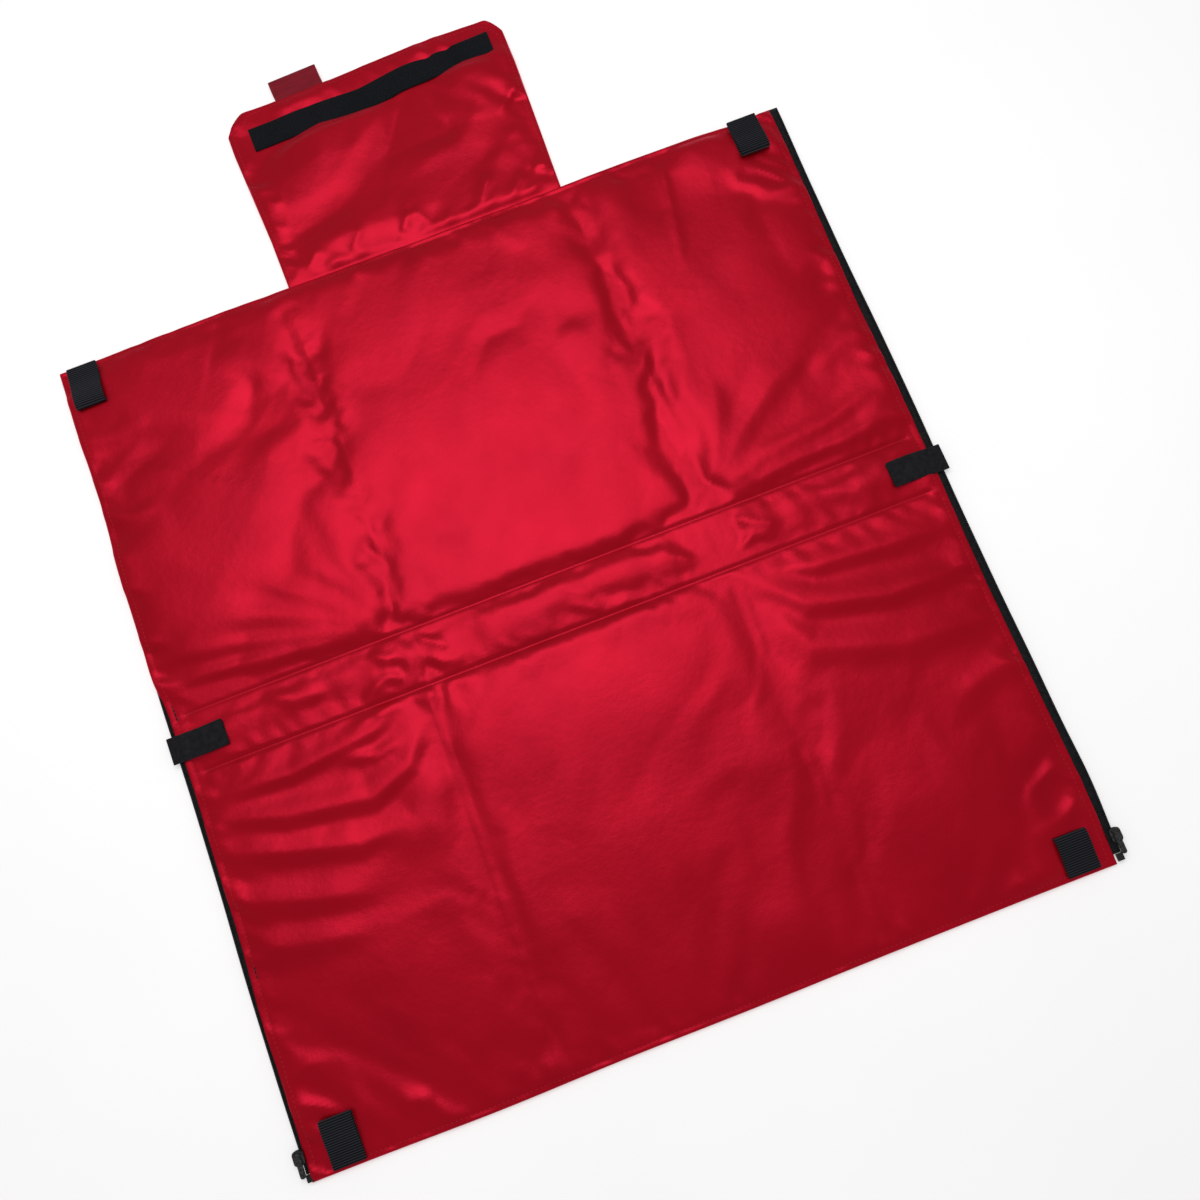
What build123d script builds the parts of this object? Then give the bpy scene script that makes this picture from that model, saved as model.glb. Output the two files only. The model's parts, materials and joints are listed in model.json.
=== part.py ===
from build123d import *
import os

# A fabric mat that folds into its own carry bag. It is laid out flat, inner face up.
# Three columns of panels (left wing, centre, right wing) and three rows (lower half,
# spine, upper half) are joined by folds. A flap at the upper hem closes the folded bag,
# a strap handle folds out from under the same hem, and half zips run along both sides.
#
# Millimetres. +X is to the right, +Y towards the flap, +Z up from the floor.
# The layout below measures Y from the middle of the spine. save() then shifts every
# piece so that the origin is the middle of the whole outline, on the floor.

# ---------------------------------------------------------------- driving dimensions
MAT_WIDTH = 744.0  # fabric, from side seam to side seam
MAT_LENGTH = 790.0  # fabric, from lower hem to upper hem
CORNER_RADIUS = 5.0
LEFT_FOLD_X = -143.0  # fold line between the left wing and the centre
RIGHT_FOLD_X = 159.0
SPINE_WIDTH = 56.0  # the gusset that becomes the bottom of the bag
FOLD_GAP = 1.0  # clear width between two panels along a fold

FACE = 0.4  # shiny inner face fabric
CORE = 1.2  # thin heat barrier layer
COVER = 0.4  # matt outer fabric
HEM = 8.0  # the core stops this far short of a hem or side seam
UNDERSIDE = 2.6  # height of the outer fabric above the floor

RIGHT_AXIS_RISE = 6.4  # right fold's axis above the inner face: that wing lies over the left

FLAP_SEAM_Y = 398.0  # the flap turns up here, just past the upper hem
FLAP_TOP_LENGTH = 63.0  # stretch of the flap that crosses the top of the bag
FLAP_END_Y = 600.0
FLAP_BASE_X = (-137.0, 148.0)
FLAP_END_X = (-143.0, 161.0)
FLAP_CHAMFER = (30.0, 20.0)  # across the flap, along the flap
FLAP_CHAMFER_RADIUS = 12.0

HOOK_STRIP = (264.0, 26.0, 2.0)  # length, width, thickness
HOOK_STRIP_CENTRE = (9.0, 569.0)
LABEL = (52.0, 20.0, 0.8)  # width, length that shows, thickness
LABEL_X = -63.0
LABEL_SEWN_IN = 8.0

HANDLE_X = (-75.5, 86.5)  # centre lines of the two legs
HANDLE_WEB = (28.0, 1.2)  # flat webbing of the legs: width, thickness
HANDLE_GRIP = (16.0, 2.4)  # middle folded lengthwise: width, thickness
HANDLE_LEG = 48.0
HANDLE_REACH = 96.0
HANDLE_SHOULDER = 52.0  # how far inside each leg the grip turns level
HANDLE_BEND = 22.0

ZIP_PROUD = 8.0  # zip that shows beyond each side seam
ZIP_TAPE = (13.0, 0.6)  # width, thickness
ZIP_TAPE_Z = 3.3
ZIP_COIL = (2.6, 1.4)
SLIDER_SIZE = (10.0, 13.0)  # across and along the zip
SLIDER_OUTBOARD = 1.0  # slider's middle line beyond the coil's outer edge
SLIDER_PLATE = 1.1
SLIDER_PARKED_Y = -373.0
PIN_RADIUS = 0.5
PULLER = (5.0, 21.0, 1.0)
STOP_BOX = (6.0, 7.0, 2.6)

LOOP_WEB = (30.0, 1.5)  # corner webbing: width, thickness of one layer
LOOP_PLACES = {  # distance of the centre line from the middle, length; sewn on by eye
    "upper_left": (356.0, 45.0),
    "upper_right": (340.0, 40.0),
    "lower_left": (340.0, 42.0),
    "lower_right": (342.0, 36.0),
}
LOOP_SLOT = 0.3  # gap between the two flattened layers

TAB = (55.0, 24.5, 2.0)  # side tab over the spine's end: length, width, thickness
TAB_ROOT_X = 384.0
TAB_HEIGHT = 5.7

# ---------------------------------------------------------------- derived positions
HALF_WIDTH = MAT_WIDTH / 2
HALF_LENGTH = MAT_LENGTH / 2
HALF_SPINE = SPINE_WIDTH / 2
HALF_GAP = FOLD_GAP / 2
THICKNESS = COVER + CORE + FACE
FACE_TOP = UNDERSIDE + THICKNESS
CORE_BASE = UNDERSIDE + COVER
FACE_BASE = CORE_BASE + CORE
LABEL_END_Y = FLAP_END_Y + LABEL[1]
FRAME_SHIFT = -(LABEL_END_Y - HALF_LENGTH) / 2
ZIP_EDGE = HALF_WIDTH + ZIP_PROUD

# The wings of the spine lie over each other when the bag is folded, and the two halves
# stand square to them. They stop short of the rows above and below by the height of the
# folded stack that they have to clear, and a gathered strip fills what is left.
STACK_MARGIN = 0.8
FOLDED_STACK = 2 * RIGHT_AXIS_RISE + THICKNESS
WING_REACH = HALF_SPINE - FOLDED_STACK - STACK_MARGIN
SPINE_REACH = {"left": WING_REACH, "centre": HALF_SPINE - HALF_GAP, "right": WING_REACH}
FLAP_FOLD_Y = FLAP_SEAM_Y + FLAP_TOP_LENGTH
# The loop strip meets the hook strip once the lower half and the flap are folded over.
LOOP_STRIP_Y = HOOK_STRIP_CENTRE[1] - 2 * FLAP_SEAM_Y - FLAP_TOP_LENGTH

COLUMNS = {
    "left": (-HALF_WIDTH, LEFT_FOLD_X - HALF_GAP),
    "centre": (LEFT_FOLD_X + HALF_GAP, RIGHT_FOLD_X - HALF_GAP),
    "right": (RIGHT_FOLD_X + HALF_GAP, HALF_WIDTH),
}
ROWS = {
    "upper": (HALF_SPINE + HALF_GAP, HALF_LENGTH),
    "lower": (-HALF_LENGTH, -HALF_SPINE - HALF_GAP),
}
SIDES = {"left": -1, "right": 1}


# ---------------------------------------------------------------- helpers
def save(name, *solids):
    """Write one node, shifted to the frame of the whole part."""
    moved = [Pos(0, FRAME_SHIFT, 0) * solid for solid in solids]
    shape = moved[0] if len(moved) == 1 else Compound(children=moved)
    shape.label = name
    export_step(shape, f"parts/{name}.step")


def block(x_range, y_range, z_range):
    """A box between three pairs of limits."""
    size = [high - low for low, high in (x_range, y_range, z_range)]
    middle = [(high + low) / 2 for low, high in (x_range, y_range, z_range)]
    return Pos(*middle) * Box(*size)


def slab(outline, base, thickness):
    """A flat sketch raised to a sheet of the given thickness."""
    return (Pos(0, 0, base) * extrude(outline, thickness)).solid()


def rectangle(x_range, y_range):
    width, length = x_range[1] - x_range[0], y_range[1] - y_range[0]
    return Pos(sum(x_range) / 2, sum(y_range) / 2) * Rectangle(width, length)


def inset(limits, low, high):
    return limits[0] + low, limits[1] - high


# ---------------------------------------------------------------- mat panels
def panel(name, column, y_range, has_core=True, hem_low=0.0, hem_high=0.0):
    """The three layers of one panel. The core is trimmed back from hems and seams."""
    outline = RectangleRounded(MAT_WIDTH, MAT_LENGTH, CORNER_RADIUS)
    outline = outline & rectangle(COLUMNS[column], y_range)
    save(f"{name}_face", slab(outline, FACE_BASE, FACE))
    save(f"{name}_cover", slab(outline, UNDERSIDE, COVER))
    if has_core:
        seam_low = HEM if column == "left" else 0
        seam_high = HEM if column == "right" else 0
        core_x = inset(COLUMNS[column], seam_low, seam_high)
        core_y = inset(y_range, hem_low, hem_high)
        save(f"{name}_core", slab(rectangle(core_x, core_y), CORE_BASE, CORE))


def gathers(side):
    """Strips of face and cover fabric that crumple where a spine wing folds up."""
    inner, outer = SPINE_REACH[side], HALF_SPINE - HALF_GAP
    strips = []
    for low, high in ((-outer, -inner), (inner, outer)):
        outline = rectangle(COLUMNS[side], (low, high))
        strips.append(slab(outline, FACE_BASE, FACE))
        strips.append(slab(outline, UNDERSIDE, COVER))
    save(f"spine_{side}_gathers", *strips)


def make_panels():
    for row, y_range in ROWS.items():
        hem_low = HEM if row == "lower" else 0
        hem_high = HEM if row == "upper" else 0
        for column in COLUMNS:
            panel(f"{row}_{column}", column, y_range, True, hem_low, hem_high)
    for column, reach in SPINE_REACH.items():
        panel(f"spine_{column}", column, (-reach, reach), has_core=column == "centre")
    for side in SIDES:
        gathers(side)


# ---------------------------------------------------------------- flap
def flap_edge_x(y, edge):
    """X of the flap's left (0) or right (1) edge at height y."""
    share = (y - FLAP_SEAM_Y) / (FLAP_END_Y - FLAP_SEAM_Y)
    return FLAP_BASE_X[edge] + share * (FLAP_END_X[edge] - FLAP_BASE_X[edge])


def flap_outline():
    """A slightly flared strip with its two free corners cut off and softened."""
    across, along = FLAP_CHAMFER
    left, right = FLAP_END_X
    points = [
        (FLAP_BASE_X[0], FLAP_SEAM_Y),
        (FLAP_BASE_X[1], FLAP_SEAM_Y),
        (flap_edge_x(FLAP_END_Y - along, 1), FLAP_END_Y - along),
        (right - across, FLAP_END_Y),
        (left + across, FLAP_END_Y),
        (flap_edge_x(FLAP_END_Y - along, 0), FLAP_END_Y - along),
    ]
    outline = Polygon(*points, align=None)
    cut_corners = outline.vertices().sort_by(Axis.Y)[-4:]
    return fillet(cut_corners, FLAP_CHAMFER_RADIUS)


def make_flap():
    wide = (FLAP_END_X[0], FLAP_END_X[1])
    stretches = {
        "flap_top": (FLAP_SEAM_Y + HALF_GAP, FLAP_FOLD_Y - HALF_GAP),
        "flap_front": (FLAP_FOLD_Y + HALF_GAP, FLAP_END_Y),
    }
    for name, y_range in stretches.items():
        outline = flap_outline() & rectangle(wide, y_range)
        save(f"{name}_lining", slab(outline, FACE_BASE, FACE))
        save(f"{name}_cover", slab(outline, UNDERSIDE, COVER))

    length, width, thick = HOOK_STRIP
    x, y = HOOK_STRIP_CENTRE
    save("hook_strip", Pos(x, y, FACE_TOP + thick / 2) * Box(length, width, thick))
    loop_y = LOOP_STRIP_Y
    save("loop_strip", Pos(x, loop_y, UNDERSIDE / 2) * Box(length, width, UNDERSIDE))

    label_width, shows, label_thick = LABEL
    label_x = (LABEL_X - label_width / 2, LABEL_X + label_width / 2)
    label_y = (FLAP_END_Y - LABEL_SEWN_IN, FLAP_END_Y + shows)
    middle = CORE_BASE + CORE / 2
    label_z = (middle - label_thick / 2, middle + label_thick / 2)
    save("blank_label", block(label_x, label_y, label_z))


# ---------------------------------------------------------------- handle
def make_handle():
    """Strap with flat ends and a grip folded lengthwise, lying flat under the mat."""
    left, right = HANDLE_X
    root = HALF_LENGTH
    knee = root - HANDLE_LEG
    low = root - HANDLE_REACH
    path = FilletPolyline(
        (left, root - HANDLE_LEG / 2),
        (left, knee),
        (left + HANDLE_SHOULDER, low),
        (right - HANDLE_SHOULDER, low),
        (right, knee),
        (right, root - HANDLE_LEG / 2),
        radius=HANDLE_BEND,
    )
    web_width, web_thick = HANDLE_WEB
    grip_width, grip_thick = HANDLE_GRIP
    strap = slab(trace(path, grip_width), 0, grip_thick)
    for x in HANDLE_X:
        leg_x = (x - web_width / 2, x + web_width / 2)
        strap = strap + block(leg_x, (knee, root), (grip_thick - web_thick, grip_thick))
    save("handle_strap", strap.solid())


# ---------------------------------------------------------------- side zips
def zip_half(side, row, y_range):
    """Half a zip: a tape sewn between the layers and a coil along its free edge."""
    sign = SIDES[side]
    tape_width, tape_thick = ZIP_TAPE
    coil_width, coil_height = ZIP_COIL
    tape_x = sorted((sign * ZIP_EDGE, sign * (ZIP_EDGE - tape_width)))
    coil_x = sorted((sign * ZIP_EDGE, sign * (ZIP_EDGE - coil_width)))
    tape_top = ZIP_TAPE_Z + tape_thick
    # the core is cut back by the hem width, and the tape reaches in less than that
    save(f"zip_tape_{row}_{side}", block(tape_x, y_range, (ZIP_TAPE_Z, tape_top)))
    save(f"zip_coil_{row}_{side}", block(coil_x, y_range, (tape_top, tape_top + coil_height)))


def make_zips():
    for side, sign in SIDES.items():
        box_width, box_length, box_height = STOP_BOX
        zip_half(side, "upper", ROWS["upper"])
        reach = SPINE_REACH[side]
        zip_half(side, "spine", (-reach, reach))
        zip_half(side, "lower", inset(ROWS["lower"], box_length, 0))
        box_x = sorted((sign * ZIP_EDGE, sign * (ZIP_EDGE - box_width)))
        box_y = (-HALF_LENGTH, -HALF_LENGTH + box_length - HALF_GAP)
        box_z = (ZIP_TAPE_Z - 1.0, ZIP_TAPE_Z - 1.0 + box_height)
        save(f"zip_stop_{side}", block(box_x, box_y, box_z))


def make_slider(side):
    """Two plates joined by a bridge beside the coil, with ears and a pin on top."""
    sign = SIDES[side]
    middle_x = sign * (ZIP_EDGE + SLIDER_OUTBOARD)
    width, length = SLIDER_SIZE
    coil_top = ZIP_TAPE_Z + ZIP_TAPE[1] + ZIP_COIL[1]
    top_base = coil_top + 0.3
    top_face = top_base + SLIDER_PLATE
    bottom_base = ZIP_TAPE_Z - 0.3 - SLIDER_PLATE

    outline = Pos(middle_x, SLIDER_PARKED_Y) * RectangleRounded(width, length, 3.5)
    body = slab(outline, top_base, SLIDER_PLATE) + slab(outline, bottom_base, SLIDER_PLATE)

    bridge_x = sorted((sign * (ZIP_EDGE + 0.8), sign * (ZIP_EDGE + 3.6)))
    bridge_y = (SLIDER_PARKED_Y - 2.5, SLIDER_PARKED_Y + 2.5)
    body = body + block(bridge_x, bridge_y, (bottom_base, top_face))

    # turned-down lips along both long sides, clear of the coil and the tape
    lip_base = ZIP_TAPE_Z + ZIP_TAPE[1] + 0.4
    lip_y = (SLIDER_PARKED_Y - 3.0, SLIDER_PARKED_Y + 3.0)
    for edge in (-1, 1):
        lip_x = sorted((middle_x + edge * width / 2, middle_x + edge * (width / 2 - 0.9)))
        body = body + block(lip_x, lip_y, (lip_base, top_face))

    pin_y, pin_z = SLIDER_PARKED_Y + 3.0, top_face + 1.2
    for edge in (-1, 1):
        ear_x = sorted((middle_x + edge * 1.9, middle_x + edge * 2.7))
        body = body + block(ear_x, (pin_y - 1.0, pin_y + 1.0), (top_face, pin_z + 1.0))
    pin = Pos(middle_x, pin_y, pin_z) * Rot(0, 90, 0) * Cylinder(PIN_RADIUS, 4.4)
    body = body + pin
    save(f"slider_{side}", body.solid())
    make_puller(side, middle_x, pin_y, pin_z)


def make_puller(side, middle_x, pin_y, pin_z):
    """Flat tag with an eye that turns on the slider's pin."""
    width, length, thick = PULLER
    eye_width, eye_radius, eye_bore = 3.2, 1.0, PIN_RADIUS + 0.06
    neck_start = pin_y - 3.0
    neck = block(
        (middle_x - eye_width / 2, middle_x + eye_width / 2),
        (neck_start, pin_y),
        (pin_z - thick / 2, pin_z + thick / 2),
    )
    tag_y = neck_start - (length - 3.0) / 2 + 1.0
    tag = Pos(middle_x, tag_y, pin_z - thick / 2)
    tag = tag * extrude(RectangleRounded(width, length - 3.0, 2.2), thick)
    eye = Pos(middle_x, pin_y, pin_z) * Rot(0, 90, 0) * Cylinder(eye_radius, eye_width)
    bore = Pos(middle_x, pin_y, pin_z) * Rot(0, 90, 0) * Cylinder(eye_bore, eye_width + 2)
    save(f"puller_{side}", (tag + neck + eye - bore).solid())


# ---------------------------------------------------------------- webbing
def loop_profile(length):
    """Side view of a flattened loop of webbing: two layers joined by a round end."""
    web = LOOP_WEB[1]
    outer = web + LOOP_SLOT / 2
    body = Pos(length / 2 - outer / 2, 0) * Rectangle(length - outer, 2 * outer)
    end = Pos(length - outer, 0) * Circle(outer)
    slot = Pos(length / 2, 0) * Rectangle(length - 2 * outer, LOOP_SLOT)
    return body + end - slot


def make_corner_loop(name, side, row):
    """Webbing loop sewn at the hem and lying flat on the face, its fold inwards."""
    centre_x, length = LOOP_PLACES[f"{row}_{side}"]
    width, web = LOOP_WEB
    root_y = HALF_LENGTH - 2.0
    height = FACE_TOP + 0.1 + web + LOOP_SLOT / 2
    x = SIDES[side] * centre_x
    if row == "upper":
        plane = Plane(origin=(x - width / 2, root_y, height), x_dir=(0, -1, 0), z_dir=(1, 0, 0))
    else:
        plane = Plane(origin=(x + width / 2, -root_y, height), x_dir=(0, 1, 0), z_dir=(-1, 0, 0))
    save(name, extrude(plane * loop_profile(length), width).solid())


def make_webbing():
    for row in ROWS:
        for side in SIDES:
            make_corner_loop(f"corner_loop_{row}_{side}", side, row)
    length, width, thick = TAB
    for side, sign in SIDES.items():
        centre_x = sign * (TAB_ROOT_X - length / 2)
        outline = Pos(centre_x, 0) * RectangleRounded(length, width, 2.0)
        save(f"side_tab_{side}", slab(outline, TAB_HEIGHT, thick))


os.makedirs("parts", exist_ok=True)
make_panels()
make_flap()
make_handle()
make_zips()
for zip_side in SIDES:
    make_slider(zip_side)
make_webbing()
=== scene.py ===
import json
import math

import bpy
import numpy as np
from mathutils import Matrix, Vector


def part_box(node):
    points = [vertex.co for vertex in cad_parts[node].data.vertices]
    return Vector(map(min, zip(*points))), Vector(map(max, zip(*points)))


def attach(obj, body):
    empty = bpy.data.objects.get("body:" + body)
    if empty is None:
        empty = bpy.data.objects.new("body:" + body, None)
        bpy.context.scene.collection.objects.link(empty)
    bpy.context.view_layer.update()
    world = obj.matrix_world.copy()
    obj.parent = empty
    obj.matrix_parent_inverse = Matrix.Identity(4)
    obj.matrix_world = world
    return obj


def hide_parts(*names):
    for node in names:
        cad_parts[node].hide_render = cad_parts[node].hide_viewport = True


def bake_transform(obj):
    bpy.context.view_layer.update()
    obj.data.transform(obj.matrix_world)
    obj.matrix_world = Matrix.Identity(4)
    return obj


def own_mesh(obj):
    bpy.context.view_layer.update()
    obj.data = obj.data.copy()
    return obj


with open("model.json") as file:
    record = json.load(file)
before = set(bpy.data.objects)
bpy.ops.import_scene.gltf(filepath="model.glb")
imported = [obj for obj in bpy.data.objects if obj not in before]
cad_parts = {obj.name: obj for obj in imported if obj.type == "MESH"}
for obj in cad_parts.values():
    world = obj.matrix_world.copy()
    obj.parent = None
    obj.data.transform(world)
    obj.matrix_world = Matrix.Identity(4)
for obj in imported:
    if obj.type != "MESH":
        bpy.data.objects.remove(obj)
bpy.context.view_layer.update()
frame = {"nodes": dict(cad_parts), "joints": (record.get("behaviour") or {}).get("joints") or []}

# The mat lies with its shiny inner face up. Lengths below are millimetres in the mat's own
# layout: X to the right, Y towards the flap from the middle of the spine, Z up from the floor.

# ---------------------------------------------------------------- places from the frame
JOINTS = {joint["name"]: joint for joint in frame["joints"]}
spine_low, spine_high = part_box("spine_centre_face")
MIDDLE = np.array((0.0, (spine_low.y + spine_high.y) / 2, 0.0))
SIDES = {"left": -1, "right": 1}


def to_frame(points):
    """Layout millimetres to frame metres."""
    return np.asarray(points, float) / 1000 + MIDDLE


def node_box(node):
    """Lowest and highest corner of a CAD node in layout millimetres."""
    return [(np.array(corner) - MIDDLE) * 1000 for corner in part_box(node)]


def joint_place(name):
    return (np.array(JOINTS[name]["pos_m"]) - MIDDLE) * 1000


FACE_Z = node_box("upper_centre_face")[1][2]
COVER_Z = node_box("upper_centre_cover")[0][2]
RIM_Z = (FACE_Z + COVER_Z) / 2
HALF_WIDTH = node_box("upper_right_face")[1][0]
HEM_Y = node_box("upper_centre_face")[1][1]
SEAM_Y = joint_place("half_fold")[1]
FOLD_X = {side: joint_place(f"{side}_fold")[0] for side in SIDES}
FLAP_SEAM_Y = joint_place("flap_fold")[1]
FLAP_FOLD_Y = joint_place("flap_fold_front")[1]
FLAP_END_Y = node_box("flap_front_lining")[1][1]
ZIP_EDGE = node_box("zip_tape_upper_right")[1][0]

FOLD_REACH = {"left": 6.0, "right": 12.0}  # half width of the cloth that turns at a wing's fold
SEAM_REACH = 5.5
FLAP_TUCK = 5.0  # how far the flap reaches in under the upper hem
RIM = 2.0  # how far in from an edge the cloth starts to roll over it
RIM_MARKS = [RIM * share for share in (0, 0.08, 0.25, 0.55, 1.0)]
MAT_RELIEF, FLAP_RELIEF = 9.0, 8.0  # highest creases of the finished cloth
LOOSE_RELIEF = 13.0  # highest creases before the cloth settles
FACE_STEP, COVER_STEP = 3.6, 8.0  # spacing of the mat's grids
SETTLE_FRAMES = 12
RIB_PITCH = 2.1  # of the corner loops
SIDE_HEM, END_HEM = 6.5, 5.0  # stitched lines' distance from the side and end edges

# ---------------------------------------------------------------- small helpers
def smooth(share):
    """Eases from 0 to 1 with level ends."""
    share = np.clip(share, 0, 1)
    return share * share * (3 - 2 * share)


def near(distance, reach):
    return np.exp(-((distance / reach) ** 2))


def soft_limit(height, most):
    """Eases heights off so that they stay below the most allowed."""
    return most * np.tanh(height / most)


def unit(vectors):
    """The vectors along the last axis at length 1."""
    return vectors / np.linalg.norm(vectors, axis=-1, keepdims=True)


def run_along(route):
    """Length of a route up to each of its points."""
    return np.concatenate([[0], np.cumsum(np.linalg.norm(np.diff(route, axis=0), axis=1))])


def add_object(name, data):
    """An object in the scene."""
    made = bpy.data.objects.new(name, data)
    bpy.context.scene.collection.objects.link(made)
    return made


# ---------------------------------------------------------------- relief of the laid-out cloth
# A crease is its height, how far it spreads to the left and to the right of the way it runs,
# how sharp its top is, from 0 to 1, and then x and y of each point on its route.
MAT_CREASES = [
    # upper left
    (10, 64, 30, 0.7, -352, 70, -315, 110, -225, 205, -198, 262),
    (4.5, 14, 12, 0.5, -345, 116, -260, 88, -200, 60, -158, 37),
    (2.6, 9, 8, 0.4, -378, 90, -300, 74, -220, 53, -157, 33),
    (2.4, 8, 7, 0.4, -372, 62, -300, 53, -230, 43, -160, 30),
    (3.2, 10, 9, 0.4, -262, 122, -205, 82, -160, 40),
    (3.4, 11, 9, 0.5, -215, 128, -182, 88, -153, 42),
    (2.6, 8, 8, 0.5, -186, 135, -168, 90, -149, 44),
    (8, 48, 24, 0.6, -365, 372, -322, 338, -262, 300, -215, 282),
    (5.5, 40, 16, 0.6, -378, 186, -330, 176, -286, 128),
    (4.5, 6, 16, 0.1, -345, 399, -250, 402, -160, 399),
    (3.2, 16, 12, 0.3, -190, 190, -176, 150, -170, 104),
    (2.6, 22, 16, 0.3, -232, 358, -195, 330, -172, 296),
    (1.6, 8, 8, 0.3, -376, 232, -345, 226, -318, 230),
    # upper centre
    (1.9, 6, 6, 0.7, -139, 288, -119, 264),
    (1.7, 6, 6, 0.7, -140, 262, -118, 262),
    (1.7, 6, 6, 0.7, -141, 238, -119, 259),
    (2, 9, 8, 0.5, -112, 312, -78, 290),
    (1.6, 8, 8, 0.5, -114, 218, -88, 223),
    (2.6, 9, 8, 0.5, -56, 398, -80, 374, -104, 346),
    (2.6, 9, 8, 0.5, 58, 398, 76, 372, 96, 344),
    (3.4, 14, 22, 0.2, 64, 380, 110, 366, 152, 372),
    (3.2, 15, 20, 0.2, 70, 318, 112, 300, 150, 312),
    (2.8, 13, 18, 0.2, 84, 246, 118, 236, 150, 244),
    (4.5, 56, 46, 0, -136, 196, -50, 206, 30, 192, 66, 176),
    (4, 44, 13, 0.1, -134, 52, -60, 49, 40, 48, 150, 50),
    (2.2, 34, 34, 0, -128, 330, -60, 342, 30, 330),
    (2.4, 26, 30, 0.1, 20, 60, 90, 120, 128, 190),
    # upper right
    (1.7, 5, 5, 0.9, 252, 402, 241, 330, 228, 258),
    (4.8, 16, 40, 0.1, 242, 388, 300, 380, 342, 366),
    (2.6, 6, 5, 0.5, 322, 350, 350, 324, 379, 297),
    (2.2, 5, 5, 0.5, 337, 352, 364, 328, 381, 312),
    (2.6, 18, 22, 0.2, 182, 398, 190, 340, 180, 262),
    (3.6, 30, 30, 0.1, 258, 232, 310, 262, 368, 262),
    (3, 11, 9, 0.4, 172, 40, 230, 62, 300, 70, 376, 92),
    (3.8, 14, 12, 0.4, 170, 44, 214, 88, 268, 128, 330, 150),
    (3, 11, 10, 0.4, 168, 48, 196, 96, 214, 150),
    (2.2, 8, 7, 0.4, 176, 35, 240, 44, 310, 48, 372, 60),
    (3.6, 40, 32, 0.1, 206, 232, 262, 196, 350, 186),
    (2.2, 13, 11, 0.2, 300, 118, 345, 140, 378, 138),
    # spine
    (2, 11, 19, 0.1, -366, 6, -240, 9, -150, 7),
    (3.2, 10, 20, 0.2, -140, 10, 0, 12, 156, 8),
    (2.2, 11, 18, 0.1, 164, 8, 260, 8, 368, 6),
    (2, 5, 5, 0.6, -141, 22, -124, 10, -108, -4),
    (1.8, 5, 5, 0.6, -141, 2, -122, -12, -98, -17),
    (2, 6, 5, 0.6, -2, 20, 16, 4, 34, -6),
    (1.6, 5, 5, 0.6, 4, -4, 22, -14, 38, -22),
    (1.8, 6, 5, 0.6, 98, 16, 112, 2, 134, -8),
    (2, 6, 5, 0.6, -186, 20, -168, 8, -152, 4),
    (2, 6, 5, 0.6, -200, -18, -176, -8, -154, -14),
    (1.5, 7, 6, 0.4, -292, 18, -262, 4, -226, 0),
    (1.8, 6, 5, 0.6, 176, 18, 196, 4, 222, -6),
    (1.6, 6, 5, 0.6, 168, -16, 190, -6, 214, -14),
    # lower left
    (3.2, 11, 7, 0.4, -376, -54, -285, -60, -205, -50, -160, -33),
    (5.2, 15, 8, 0.45, -378, -70, -300, -95, -222, -107, -182, -92, -154, -52),
    (3.6, 15, 9, 0.4, -378, -100, -312, -124, -246, -142, -196, -140),
    (2.9, 16, 11, 0.3, -376, -146, -305, -172, -238, -188),
    (2.3, 16, 12, 0.3, -380, -188, -322, -206, -256, -218),
    (2, 7, 6, 0.4, -244, -62, -206, -72, -172, -66),
    (1.8, 6, 5, 0.5, -222, -40, -194, -36, -166, -30),
    (2.4, 22, 20, 0.1, -232, -152, -184, -146, -156, -92),
    (2.4, 7, 6, 0.4, -376, -324, -350, -338, -326, -354),
    (1.7, 9, 8, 0.1, -288, -361, -252, -366),
    (1.8, 44, 50, 0, -360, -262, -280, -250, -200, -270),
    # lower centre
    (4, 62, 66, 0, -138, -124, -60, -112, 60, -98, 150, -94),
    (2.2, 16, 20, 0.1, -140, -114, -104, -80, -58, -48),
    (1.8, 9, 14, 0.2, -126, -36, -60, -40, 40, -38, 150, -40),
    (1.8, 50, 60, 0, -90, -220, 0, -250, 90, -236),
    (2.4, 24, 22, 0, 46, -338, 120, -350),
    (1.3, 24, 20, 0, -118, -352, -60, -344),
    # lower right
    (3.2, 40, 56, 0, 176, -286, 250, -304, 344, -292),
    (2.6, 7, 7, 0.4, 312, -352, 348, -341, 377, -322),
    (3, 12, 9, 0.4, 172, -36, 230, -54, 300, -60, 378, -62),
    (3.8, 15, 10, 0.4, 170, -44, 212, -86, 286, -104, 378, -104),
    (2.6, 16, 13, 0.3, 168, -60, 200, -124, 280, -150, 372, -156),
    (1.8, 14, 12, 0.2, 300, -214, 340, -204, 378, -196),
    (1.6, 14, 12, 0.1, 330, -372, 300, -384, 262, -386),
]
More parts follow.
